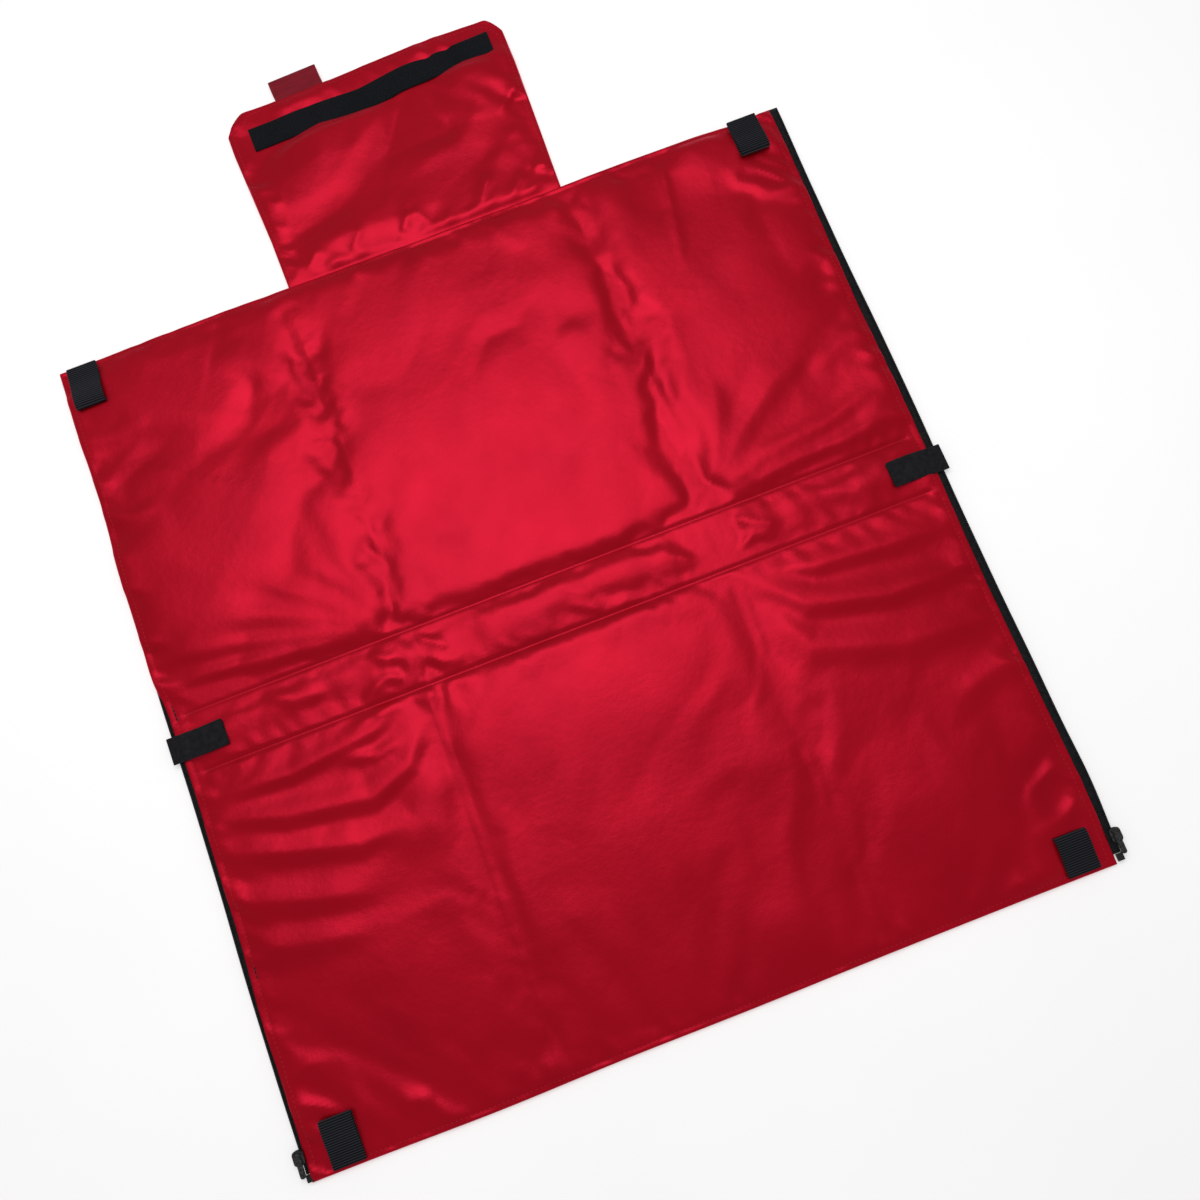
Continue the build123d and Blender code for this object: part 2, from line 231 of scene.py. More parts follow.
FLAP_CREASES = [
    (2.4, 22, 12, 0.15, -128, 424, -60, 430, 0, 424, 64, 432),
    (4.8, 9, 46, 0.1, -138, 526, -70, 541, 0, 546, 44, 550),
    (4.6, 9, 50, 0.1, 60, 554, 104, 554, 146, 546),
    (-3, 12, 21, 0.1, 14, 536, 40, 510, 92, 491),
    (2.8, 12, 20, 0.3, 92, 440, 120, 466, 150, 478),
    (2, 6, 6, 0.5, 116, 492, 152, 522),
    (1.7, 6, 6, 0.4, -142, 489, -112, 483),
    (1.6, 6, 6, 0.4, -141, 463, -116, 457),
    (1.5, 6, 6, 0.4, -140, 437, -117, 432),
    (1.8, 6, 6, 0.6, -118, 404, -96, 426),
    (2, 7, 6, 0.6, -70, 404, -50, 430),
    (2.2, 7, 7, 0.7, -16, 406, 0, 428),
    (2, 7, 7, 0.7, 16, 406, 0, 428),
    (2.4, 8, 7, 0.6, 66, 404, 88, 438),
    (2, 7, 6, 0.6, 98, 404, 122, 424),
    (1.6, 6, 6, 0.5, 128, 428, 150, 420),
    (1.6, 7, 8, 0.2, -100, 592, -40, 588),
    (1.4, 9, 5, 0.2, -30, 408, 40, 404, 110, 408),
]


def crease(x, y, height, left, right, sharp, *route):
    """Height that one crease adds at each point."""
    nearest = np.full(np.shape(x), np.inf)
    side, along = np.zeros(np.shape(x)), np.zeros(np.shape(x))
    run = 0.0
    spots = list(zip(route[::2], route[1::2]))
    for (x0, y0), (x1, y1) in zip(spots, spots[1:]):
        dx, dy = x1 - x0, y1 - y0
        length = math.hypot(dx, dy)
        share = np.clip(((x - x0) * dx + (y - y0) * dy) / length**2, 0, 1)
        away = np.hypot(x - x0 - share * dx, y - y0 - share * dy)
        turn = (dx * (y - y0) - dy * (x - x0)) / length
        closer = away < nearest
        side = np.where(closer, turn / np.maximum(away, 1e-6), side)
        along = np.where(closer, run + share * length, along)
        nearest = np.minimum(nearest, away)
        run += length
    spread = right + (left - right) * (np.clip(side, -1, 1) + 1) / 2
    reach = nearest / spread
    profile = (1 - sharp) * np.exp(-(reach**2)) + sharp * np.exp(-1.4 * reach)
    fade = max(0.34 * run, min(0.5 * run, 1.3 * max(left, right)))
    ends = smooth(0.08 + 0.92 * np.minimum(along, run - along) / fade)
    return height * profile * ends


def ripple(x, y, size, seed):
    """Smooth random waves between -1 and 1, about one every `size` millimetres."""
    heights = np.random.default_rng(seed).uniform(-1, 1, (256, 256))
    column, row = x / size + 128, y / size + 100
    i, j = np.floor(column).astype(int), np.floor(row).astype(int)
    u, v = smooth(column - i), smooth(row - j)
    i, j = i % 255, j % 255
    low = heights[j, i] * (1 - u) + heights[j, i + 1] * u
    high = heights[j + 1, i] * (1 - u) + heights[j + 1, i + 1] * u
    return low * (1 - v) + high * v


def facet(x, y, size, seed):
    """Flat triangles of cloth that meet in creases, with tops between -1 and 1."""
    turn = 0.6 + seed
    bent_x = x + 0.5 * size * ripple(x, y, 1.7 * size, seed + 1)
    bent_y = y + 0.5 * size * ripple(x, y, 1.5 * size, seed + 2)
    column = (bent_x * math.cos(turn) + bent_y * math.sin(turn)) / size + 128
    row = (bent_y * math.cos(turn) - bent_x * math.sin(turn)) / size + 128
    heights = np.random.default_rng(seed).uniform(-1, 1, (257, 257))
    i, j = np.floor(column).astype(int) % 256, np.floor(row).astype(int) % 256
    u, v = column % 1, row % 1
    low, high = heights[j, i], heights[j + 1, i + 1]
    right, above = heights[j, i + 1], heights[j + 1, i]
    below_diagonal = low + u * (right - low) + v * (high - right)
    above_diagonal = low + v * (above - low) + u * (high - above)
    return np.where(u > v, below_diagonal, above_diagonal)


def crushed(x, y, size, seed, soft):
    """Facets with their creases eased over a distance."""
    total = 2 * facet(x, y, size, seed)
    for angle in np.arange(6) * math.pi / 3:
        total += facet(x + soft * math.cos(angle), y + soft * math.sin(angle), size, seed)
    return total / 8


def mat_relief(x, y):
    """Height of the laid-out inner face above its flat place."""
    height = np.zeros(np.shape(x))
    for parts in MAT_CREASES:
        height += 1.3 * crease(x, y, *parts)
    upper = smooth((y + 20) / 70)
    wander = 9 * ripple(0.6 * x, y, 38, 17) + 4 * ripple(x, y, 15, 18)
    wandered = x + wander
    to_fold = np.minimum(np.abs(wandered - FOLD_X["left"] + 7), np.abs(wandered - FOLD_X["right"]))
    to_seam = np.minimum(np.abs(np.abs(y) - SEAM_Y), HEM_Y - np.abs(y))
    height += (0.6 + 2.2 * upper) * smooth((to_fold - 5) / 24) * smooth((to_seam - 2) / 26)
    height += 2.6 * crushed(x, y, 74, 11, 6) * (0.5 + 0.7 * upper)
    height += 1.2 * crushed(x, y, 33, 12, 2.5) * (0.35 + 0.65 * upper)
    # cloth beside the folds keeps the crumples it took while it was folded up
    beside_left = near(x - FOLD_X["left"] + 7, 19)
    beside_right = near(x - FOLD_X["right"] + 3, 13)
    height += beside_left * (1.3 * upper + 0.4) * (crushed(x, y * 0.9, 23, 13, 1.6) + 0.5)
    height += beside_left * (0.8 * upper + 0.2) * crushed(x, y, 12, 14, 1.0)
    height += beside_right * (1.3 * upper + 0.3) * crushed(x, y * 0.8, 19, 15, 2.5)
    lobes = near(x - FOLD_X["right"] + 34, 24) + 0.7 * near(x - FOLD_X["left"] - 34, 20)
    height += 2.2 * lobes * upper * crushed(x, y, 36, 16, 5)
    for fold in FOLD_X.values():
        height += 0.4 * near(x - fold, 2.8)
    # the stitched lines of the spine hold the cloth down, and small gathers run off them
    for seam in (-SEAM_Y, SEAM_Y):
        away = np.abs(y - seam)
        height += 0.8 * (ripple(x + 0.35 * y, y * 0.25, 8.5, 31) * near(away - 5, 8))
        pinch = near(np.hypot(x - FOLD_X["left"], y - seam), 30)
        height += 2.0 * pinch * crushed(x, y, 14, 41, 1.5)
    # the corners curl up a little around the loops' free ends
    for edge in (-346, 346):
        for end in (-332, 336):
            around = np.hypot(x - edge, y - end) + 9 * ripple(x, y, 21, 51)
            curl = 1.9 * near(around - 28, 9) * smooth((HEM_Y - np.abs(y) - 4) / 14)
            height += curl * (1 + 0.6 * ripple(x, y, 30, 52))
    height += 1.7 * near(y, 26) * crushed(0.7 * x, y, 21, 42, 1.6)
    for seam in (-SEAM_Y, SEAM_Y):
        height *= 1 - near(y - seam, 5.5)
    return height


def seam_dip(y):
    """How strongly the stitched lines pull the two layers together, from 0 to 1."""
    return near(y - SEAM_Y, 1.9) + near(y + SEAM_Y, 1.9)


def edge_puckers(along, across, to_edge, seed):
    """Short slanting creases that a sewn edge draws into the cloth beside it."""
    wave = ripple(along + 0.5 * across, 0.3 * across, 11, seed)
    return 2.6 * wave * near(to_edge - 8, 13)


def stitch_groove(to_edge, line):
    """How deep a stitched line sinks into the cloth, from 0 to 1."""
    return near(to_edge - line, 1.5)


# ---------------------------------------------------------------- sheets of cloth
class Sheet:
    """A grid of cloth: the layout place (xs, ys) and the position of each grid point."""

    def __init__(self, xs, ys, position):
        self.xs, self.ys, self.position = xs, ys, position
        self.normal = unit(np.cross(np.gradient(position, axis=1), np.gradient(position, axis=0)))

    def at(self, x, y):
        """Position and upward normal at layout places."""
        column = np.interp(x, self.xs, np.arange(len(self.xs)))
        row = np.interp(y, self.ys, np.arange(len(self.ys)))
        i = np.minimum(column.astype(int), len(self.xs) - 2)
        j = np.minimum(row.astype(int), len(self.ys) - 2)
        u, v = (column - i)[..., None], (row - j)[..., None]
        found = []
        for values in (self.position, self.normal):
            low = values[j, i] * (1 - u) + values[j, i + 1] * u
            high = values[j + 1, i] * (1 - u) + values[j + 1, i + 1] * u
            found.append(low * (1 - v) + high * v)
        return found


def stations(marks, step):
    """Coordinates through every mark, no further apart than step."""
    marks = sorted(marks)
    found = [marks[0]]
    for low, high in zip(marks, marks[1:]):
        count = max(1, math.ceil((high - low) / step))
        found.extend(low + (high - low) * k / count for k in range(1, count + 1))
    return np.array(found)


def rim_marks(edge, inward):
    """Marks that round off a rim, from its edge inwards."""
    return [edge + inward * share for share in RIM_MARKS]


def rim_share(to_edge):
    """0 at an edge, where the two layers meet, and 1 from RIM inwards."""
    closeness = 1 - np.clip(to_edge / RIM, 0, 1)
    return np.sqrt(1 - closeness**2)


def mat_marks_x():
    folds = [FOLD_X[s] + k * FOLD_REACH[s] for s in SIDES for k in (-1, 1)]
    hems = [s * (HALF_WIDTH - SIDE_HEM + k) for s in (-1, 1) for k in (-1.6, 0, 1.6)]
    return rim_marks(-HALF_WIDTH, 1) + folds + hems + rim_marks(HALF_WIDTH, -1)


def mat_marks_y():
    seams = [s * SEAM_Y + k for s in (-1, 1) for k in (-SEAM_REACH, -1.3, 0, 1.3, SEAM_REACH)]
    hems = [s * (HEM_Y - END_HEM + k) for s in (-1, 1) for k in (-1.4, 0, 1.4)]
    return rim_marks(-HEM_Y, 1) + seams + hems + rim_marks(HEM_Y, -1)


def left_edge_out(y):
    """The left edge hangs over its zip, more along the upper half."""
    return 4.0 + 5.0 * smooth((y - 30) / 50) + 1.2 * np.sin(y / 61) + 0.6 * np.sin(y / 23)


def right_edge_out(y):
    return 0.5 + 0.8 * np.sin(y / 47 + 1) + 1.5 * near(y + 330, 50)


def spread_outline(x, y):
    """Moves the cloth near its edges, which don't run quite straight."""
    left = smooth((-x - 300) / (HALF_WIDTH - 300))
    right = smooth((x - 300) / (HALF_WIDTH - 300))
    moved_x = x - left * left_edge_out(y) + right * right_edge_out(y)
    bottom = smooth((-y - 300) / (HEM_Y - 300))
    top = smooth((y - 330) / (HEM_Y - 330))
    # the folded bag's flap passes 3 mm beyond the hems
    hang = 1.0 + 1.8 * near(x + 205, 90) + 0.8 * near(x - 20, 90) + 0.6 * near(x - 380, 60)
    rise = 0.8 + 1.3 * near(x + 215, 80) + 1.3 * near(x - 205, 70) - 2.3 * near(x - 335, 26)
    moved_y = y - bottom * hang + top * rise
    return moved_x, moved_y


def blurred(values):
    padded = np.pad(values, 1, mode="edge")
    beside = padded[:-2, 1:-1] + padded[2:, 1:-1] + padded[1:-1, :-2] + padded[1:-1, 2:]
    return 0.5 * values + 0.125 * beside


def grid_faces(rows, columns):
    """Faces of a grid of points that are numbered row by row."""
    corner = (np.arange(rows - 1)[:, None] * columns + np.arange(columns - 1)).ravel()
    return np.stack([corner, corner + 1, corner + columns + 1, corner + columns], axis=1)


def square_mesh(name, side, z):
    """A level square from -side to side, in frame metres."""
    mesh = bpy.data.meshes.new(name)
    corners = [(-side, -side, z), (side, -side, z), (side, side, z), (-side, side, z)]
    mesh.from_pydata(corners, [], [(0, 1, 2, 3)])
    return mesh


def settle(x, y, height, held, slack):
    """Cloth simulation: a sheet sewn down where it is held, and cut a little too large, buckles.

    Returns the settled heights, mixed with the heights it started from."""
    rows, columns = height.shape
    start = to_frame(np.stack([x, y, FACE_Z + height], axis=2).reshape(-1, 3))
    mesh = bpy.data.meshes.new("settling")
    mesh.from_pydata(start.tolist(), [], grid_faces(rows, columns).tolist())
    sheet = add_object("settling", mesh)
    group = sheet.vertex_groups.new(name="held")
    weights = np.round(held.ravel(), 1)
    for weight in np.unique(weights[weights > 0]):
        group.add(np.nonzero(weights == weight)[0].tolist(), float(weight), "REPLACE")
    cloth = sheet.modifiers.new("cloth", "CLOTH")
    give = cloth.settings
    give.quality, give.mass, give.air_damping = 5, 0.0001, 4.0
    give.effector_weights.gravity = 0.15
    give.tension_stiffness = give.compression_stiffness = 8
    give.shear_stiffness, give.bending_stiffness = 2, 3.0
    give.shrink_min = -slack
    give.vertex_group_mass = "held"
    cloth.collision_settings.distance_min = 0.001
    below = FACE_Z / 1000 - 0.0012
    ground = add_object("below", square_mesh("below", 1, below))
    ground.modifiers.new("below", "COLLISION")
    ground.collision.thickness_outer = 0.001
    cloth.point_cache.frame_start, cloth.point_cache.frame_end = 1, SETTLE_FRAMES
    for step in range(1, SETTLE_FRAMES + 1):
        bpy.context.scene.frame_set(step)
    settled = sheet.evaluated_get(bpy.context.evaluated_depsgraph_get()).to_mesh()
    points = np.empty(rows * columns * 3)
    settled.vertices.foreach_get("co", points)
    for piece in (sheet, ground):
        bpy.data.objects.remove(piece)
    bpy.context.scene.frame_set(1)
    found = points.reshape(rows, columns, 3)[..., 2] * 1000 - FACE_Z
    return 0.5 * blurred(found) + 0.92 * height


def mat_held(x, y):
    """How firmly the stitched edges, seams and pressed folds hold the face, from 0 to 1."""
    to_edge = np.minimum(HALF_WIDTH - np.abs(x), HEM_Y - np.abs(y))
    sewn = np.maximum(near(to_edge, 3), near(np.abs(y) - SEAM_Y, 2.5))
    pressed = np.maximum(0.25 * near(x - FOLD_X["right"], 5), 0.15 * near(x - FOLD_X["left"], 5))
    held = np.maximum(sewn, pressed)
    return np.where(held > 0.9, 1.0, 0.6 * held)


def mat_layers():
    """The face and the cover of the mat, joined along a rolled rim."""
    xs, ys = stations(mat_marks_x(), FACE_STEP), stations(mat_marks_y(), FACE_STEP)
    x, y = np.meshgrid(xs, ys)
    to_side, to_hem = HALF_WIDTH - np.abs(x), HEM_Y - np.abs(y)
    height = mat_relief(x, y)
    height = height * (1 - 0.75 * near(to_hem, 9)) * (1 - 0.6 * near(to_side, 8))
    height = soft_limit(np.maximum(height, 0), LOOSE_RELIEF)
    height = settle(x, y, height, mat_held(x, y), 0.005)
    landing = smooth((x - FOLD_X["left"] + 10) / 20) * smooth((FOLD_X["right"] - x) / 20)
    # the folded left wing lies over the centre
    height = soft_limit(height, LOOSE_RELIEF - 6.2 * landing)
    height = height + edge_puckers(y, x, to_side, 51) + 0.5 * edge_puckers(x, y, to_hem, 52)
    over_zip = smooth((-x - HALF_WIDTH + 12) / 8) * smooth((y - 40) / 30)
    height = np.maximum(height, -0.2) + 1.3 * over_zip
    grooves = stitch_groove(to_side, SIDE_HEM) + stitch_groove(to_hem, END_HEM)
    over_tape = smooth((16 - to_side) / 5)
    face_z = FACE_Z + soft_limit(height, MAT_RELIEF) - 0.9 * seam_dip(y) * (1 - over_tape)
    face_z -= (0.6 - 0.25 * over_tape) * grooves
    rim = rim_share(to_side) * rim_share(to_hem)
    face_z = RIM_Z + (face_z - RIM_Z) * rim
    moved_x, moved_y = spread_outline(x, y)
    face = Sheet(xs, ys, np.stack([moved_x, moved_y, face_z], axis=2))

    xs, ys = stations(mat_marks_x(), COVER_STEP), stations(mat_marks_y(), COVER_STEP)
    x, y = np.meshgrid(xs, ys)
    to_side, to_hem = HALF_WIDTH - np.abs(x), HEM_Y - np.abs(y)
    lift = np.maximum(face.at(x, y)[0][..., 2] - FACE_Z, 0)
    lift = lift * smooth(to_hem / 30) * smooth(to_side / 30)
    for _ in range(5):
        lift = blurred(lift)
    cover_z = COVER_Z + 0.2 * lift
    cover_z = cover_z + (FACE_Z - 0.8 - cover_z) * np.clip(seam_dip(y), 0, 1)
    rim = rim_share(to_side) * rim_share(to_hem)
    cover_z = RIM_Z - (RIM_Z - cover_z) * rim
    moved_x, moved_y = spread_outline(x, y)
    cover = Sheet(xs, ys, np.stack([moved_x, moved_y, cover_z], axis=2))
    return face, cover


FLAP_SIDES = {
    "left": ((-140, 398), (-141, 450), (-147, 555)),
    "right": ((149, 398), (152, 470), (155, 545)),
}
FLAP_CORNER = {"left": (24.0, 22.0), "right": (15.0, 17.0)}
FLAP_SPAN = (-100.0, 100.0)  # grid coordinate across the flap


def flap_edge(side, y):
    """X of the flap's edge, which flares a little and is cut off at its free corner."""
    route = FLAP_SIDES[side]
    edge = np.interp(y, [p[1] for p in route], [p[0] for p in route])
    across, along = FLAP_CORNER[side]
    share = np.clip((y - (FLAP_END_Y - along)) / along, 0, 1)
    cut = across * (0.55 * share + 0.45 * (1 - np.sqrt(1 - share**2)))
    return edge - SIDES[side] * cut


def flap_place(across, y):
    """Layout x for a grid coordinate across the flap."""
    share = (across - FLAP_SPAN[0]) / (FLAP_SPAN[1] - FLAP_SPAN[0])
    return flap_edge("left", y) * (1 - share) + flap_edge("right", y) * share


def flap_layer(top, step):
    """The flap's satin lining (top) or its outer cloth."""
    width = FLAP_SIDES["right"][0][0] - FLAP_SIDES["left"][0][0]
    scale = (FLAP_SPAN[1] - FLAP_SPAN[0]) / width
    rims = [FLAP_SPAN[0] + mark * scale for mark in RIM_MARKS]
    rims += [FLAP_SPAN[1] - mark * scale for mark in RIM_MARKS]
    xs = stations(rims, step * scale)
    folds = [FLAP_SEAM_Y + 7, FLAP_FOLD_Y - 6, FLAP_FOLD_Y + 6]
    ys = stations([FLAP_SEAM_Y - FLAP_TUCK] + folds + rim_marks(FLAP_END_Y, -1), step)
    across, y = np.meshgrid(xs, ys)
    x = flap_place(across, y)
    to_side = (FLAP_SPAN[1] - np.abs(across)) / scale
    to_end = FLAP_END_Y - y
    height = np.zeros(x.shape)
    for parts in FLAP_CREASES:
        height += crease(x, y, *parts)
    height = height + 0.5 * ripple(x, y, 34, 61) + 1.2
    height = height + 1.3 * crushed(x, y, 15, 62, 2) * near(y - 404, 14)
    height = height + 3.0 * crushed(x, y, 52, 65, 4)
    height = height * (1 - 0.5 * near(to_side, 7)) * (1 - 0.6 * near(to_end, 9))
    height += 0.8 * edge_puckers(y, x, to_side, 63)
    height += 0.4 * edge_puckers(x, y, to_end, 64)
    under_strip = near(y - strip_line(x), 13)
    height = height * (1 - 0.6 * under_strip) * (1 - 0.3 * near(y - FLAP_FOLD_Y, 14))
    height = soft_limit(np.maximum(height, 0), FLAP_RELIEF) * smooth((y - FLAP_SEAM_Y + 2) / 8)
    if top:
        held = np.maximum(near(np.minimum(to_side, to_end), 3), smooth((FLAP_SEAM_Y + 3 - y) / 4))
        held = np.maximum(held, smooth((14 - np.abs(y - strip_line(x))) / 2) * (to_side > 10))
        height = settle(x, y, height, np.where(held > 0.9, 1.0, 0.6 * held), 0.004)
    rim = rim_share(to_side) * rim_share(to_end)
    if top:
        z = FACE_Z - 0.5 + height
        z = RIM_Z + (z - RIM_Z) * rim
    else:
        z = COVER_Z + 0.12 * height
        z = RIM_Z - (RIM_Z - z) * rim
    # the free edge doesn't run quite straight
    free_end = smooth((y - 560) / 40)
    sway = 1.6 * np.sin(x / 52 + 0.4) * free_end + 3.0 * smooth((x + 60) / 160) * free_end
    return Sheet(xs, ys, np.stack([x, y + sway, z], axis=2))


def strip_line(x):
    """Y of the hook strip's middle line, which isn't sewn quite straight."""
    return 564.5 + 7.5 * smooth((x + 10) / 60) - 1.0 * np.sin(x / 30)


# ---------------------------------------------------------------- regions and how they are held
def ride_or_bend(piece, hold):
    """A region rides on one body; a region held between two bodies across a fold line is baked where it
    lies.
    """
    if isinstance(hold, str):
        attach(piece, hold)
    else:
        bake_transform(piece)


def flatten_in_fold(piece):
    """Gives a piece on a wing its own copy of its mesh."""
    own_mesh(piece)


def flatten_face(piece, hold):
    """Gives a face piece that rides one body its own copy of its mesh."""
    if not isinstance(hold, str):
        return
    if hold in ("flap_front", "flap_top"):
        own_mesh(piece)
    elif hold.endswith("right"):
        flatten_in_fold(piece)
    else:
        flatten_in_fold(piece)


def bend(body_a, body_b, start, end):
    """Hold for cloth between two bodies. The turn stays a little inside the region."""
    start, end = np.array(start, float), np.array(end, float)
    inset = 0.06 * (end - start)
    return body_a, body_b, start + inset, end - inset


def mat_regions():
    """(name, x range, y range, hold, stood-for stems) of regions that meet edge to edge."""
    rows = {"upper": (SEAM_Y, HEM_Y), "spine": (-SEAM_Y, SEAM_Y), "lower": (-HEM_Y, -SEAM_Y)}
    inner = [FOLD_X["left"] + FOLD_REACH["left"], FOLD_X["right"] - FOLD_REACH["right"]]
    for row, y_range in rows.items():
        for side, sign in SIDES.items():
            fold, reach = FOLD_X[side], FOLD_REACH[side]
            near_edge, far_edge = fold - sign * reach, fold + sign * reach
            hold = bend(f"{row}_centre", f"{row}_{side}", (near_edge, 0, FACE_Z), (far_edge, 0, FACE_Z))
            yield f"{row}_{side}_fold", sorted((near_edge, far_edge)), y_range, hold, None
            wing, x_range = f"{row}_{side}", sorted((far_edge, sign * HALF_WIDTH))
            yield wing, x_range, y_range, wing, wing
        low = y_range[0] + (SEAM_REACH if row != "lower" else 0)
        high = y_range[1] - (SEAM_REACH if row != "upper" else 0)
        yield f"{row}_centre", inner, (low, high), f"{row}_centre", f"{row}_centre"
    for name, first, second, seam in (
        ("half_fold_upper", "upper_centre", "spine_centre", SEAM_Y),
        ("half_fold_lower", "spine_centre", "lower_centre", -SEAM_Y),
    ):
        y_range = (seam - SEAM_REACH, seam + SEAM_REACH)
        hold = bend(first, second, (0, y_range[1], FACE_Z), (0, y_range[0], FACE_Z))
        yield name, inner, y_range, hold, None


def flap_regions():
    whole = FLAP_SPAN
    seam = (FLAP_SEAM_Y - FLAP_TUCK, FLAP_SEAM_Y + 7)
    fold = (FLAP_FOLD_Y - 6, FLAP_FOLD_Y + 6)
    hold = bend("upper_centre", "flap_top", (0, FLAP_SEAM_Y - 4, FACE_Z), (0, seam[1], FACE_Z))
    yield "flap_seam", whole, seam, hold, None
    yield "flap_top", whole, (seam[1], fold[0]), "flap_top", "flap_top"
    hold = bend("flap_top", "flap_front", (0, fold[0], FACE_Z), (0, fold[1], FACE_Z))
    yield "flap_fold", whole, fold, hold, None
    yield "flap_front", whole, (fold[1], FLAP_END_Y), "flap_front", "flap_front"


def inside(values, low, high):
    """First and last index of the grid lines in a range."""
    found = np.nonzero((values > low - 1e-6) & (values < high + 1e-6))[0]
    return found[0], found[-1]


def make_mesh(name, points, faces, material, normals=None):
    """An object from layout points and faces, with smooth shading."""
    mesh = bpy.data.meshes.new(name)
    mesh.from_pydata(to_frame(points).tolist(), [], faces)
    mesh.polygons.foreach_set("use_smooth", [True] * len(mesh.polygons))
    mesh.materials.append(material)
    if normals is not None:
        mesh.normals_split_custom_set_from_vertices(normals.tolist())
    return add_object(name, mesh)


def cut_region(sheet, name, x_range, y_range, material, upward):
    """The part of a sheet in one region as an object, with the whole sheet's normals."""
    i0, i1 = inside(sheet.xs, *x_range)
    j0, j1 = inside(sheet.ys, *y_range)
    points = sheet.position[j0 : j1 + 1, i0 : i1 + 1].reshape(-1, 3)
    normals = sheet.normal[j0 : j1 + 1, i0 : i1 + 1].reshape(-1, 3)
    faces = grid_faces(j1 - j0 + 1, i1 - i0 + 1)
    if not upward:
        faces, normals = faces[:, ::-1], -normals
    return make_mesh(name, points, faces.tolist(), material, normals)


def make_layer(sheet, regions, layer, material, upward, stands_for):
    """Every region of one layer of cloth."""
    for name, x_range, y_range, hold, stem in regions:
        piece = cut_region(sheet, f"{name}_{layer}", x_range, y_range, material, upward)
        corners = sheet.at(np.array(x_range, float), np.array(y_range, float))[0] / 1000
        if stem:
            nodes = [f"{stem}_{part}" for part in stands_for if f"{stem}_{part}" in frame["nodes"]]
            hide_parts(*nodes)
        ride_or_bend(piece, hold)
        if upward:
            flatten_face(piece, hold)


# ---------------------------------------------------------------- straps, tapes and thread
def tube_faces(count, size):
    """Faces around a row of closed rings of points."""
    found = []
    for ring in range(0, (count - 1) * size, size):
        for k in range(size):
            a, b = ring + k, ring + (k + 1) % size
            found.append((a, b, b + size, a + size))
    return found


def smooth_route(points, step):
    """A curve through given points (Catmull-Rom), sampled about every step."""
    points = np.array(points, float)
    ends = np.vstack([2 * points[0] - points[1], points, 2 * points[-1] - points[-2]])
    found = []
    for a, b, c, d in zip(ends, ends[1:], ends[2:], ends[3:]):
        count = max(1, int(np.linalg.norm(c - b) / step))
        t = (np.arange(count) / count)[:, None]
        bent = (2 * a - 5 * b + 4 * c - d) * t**2 + (3 * b - a - 3 * c + d) * t**3
        found.append(b + 0.5 * ((c - a) * t + bent))
    return np.vstack(found + [points[-1:]])


BAND_SHARE = (0.5, 0.497, 0.48, 0.44, 0.3, 0.1)  # places across a band, from its edge inwards
BAND_LEVEL = (0.0, 0.25, 0.42, 0.5, 0.5, 0.5)  # height of its upper side at those places


def strap(name, route, across, width, thick, material, rib=0.0, rib_pitch=1.6, corner=0.0):
    """A flat band swept along a route. Ribs run across it, and corners round off its far end."""
    count = len(route)
    tangent = unit(np.gradient(route, axis=0))
    across = np.broadcast_to(np.asarray(across, float), route.shape)
    across = unit(across - tangent * np.sum(across * tangent, axis=1, keepdims=True))
    outward = np.cross(across, tangent)
    run = run_along(route)
    width = np.broadcast_to(np.asarray(width, float), count).copy()
    thick = np.broadcast_to(np.asarray(thick, float), count)
    if corner:
        close = np.clip(1 - (run[-1] - run) / corner, 0, 1)
        width = width - 2 * corner * (1 - np.sqrt(1 - close**2))
    ridge = 1 + rib * np.cos(2 * math.pi * run / rib_pitch)
    share, level = np.array(BAND_SHARE), np.array(BAND_LEVEL)
    share, level = np.concatenate([-share, share[::-1]]), np.concatenate([level, level[::-1]])
    share, level = np.concatenate([share, share[-2:0:-1]]), np.concatenate([level, -level[-2:0:-1]])
    size = len(share)
    points = (
        route[:, None, :]
        + across[:, None, :] * (width[:, None] * share)[..., None]
        + outward[:, None, :] * ((thick * ridge)[:, None] * level)[..., None]
    )
    faces = tube_faces(count, size)
    half = size // 2
    for ring, flip in ((0, 1), (count - 1, -1)):
        for k in range(half):
            a, b = ring * size + k, ring * size + k + 1
            c, d = ring * size + (size - k - 1) % size, ring * size + (size - k) % size
            quad = [a, d, c, b] if k else [a, c, b]
            faces.append(tuple(quad[::flip]))
    return make_mesh(name, points.reshape(-1, 3), faces, material)


def finish_piece(piece, body, slot, *nodes):
    """A rigid or webbing piece that rides one body and stands for CAD nodes."""
    if nodes:
        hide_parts(*nodes)
    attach(piece, body)


STITCH, STITCH_GAP = 3.0, 1.3  # length of a stitch, and of the gap to the next
STITCH_HALF = np.array((STITCH / 2, 0.48, 0.55))  # half length and width, and height


def stitch_places(route):
    """Middles and directions of stitches along a route of (x, y) points."""
    pitch = STITCH + STITCH_GAP
    route = smooth_route([(*p, 0) for p in route], 1.5)[:, :2]
    run = run_along(route)
    spots = np.arange(pitch / 2, run[-1], pitch)
    x, y = np.interp(spots, run, route[:, 0]), np.interp(spots, run, route[:, 1])
    ahead = [np.interp(spots + 0.5, run, route[:, k]) for k in (0, 1)]
    behind = [np.interp(spots - 0.5, run, route[:, k]) for k in (0, 1)]
    return x, y, unit(np.stack([ahead[0] - behind[0], ahead[1] - behind[1]], axis=1))


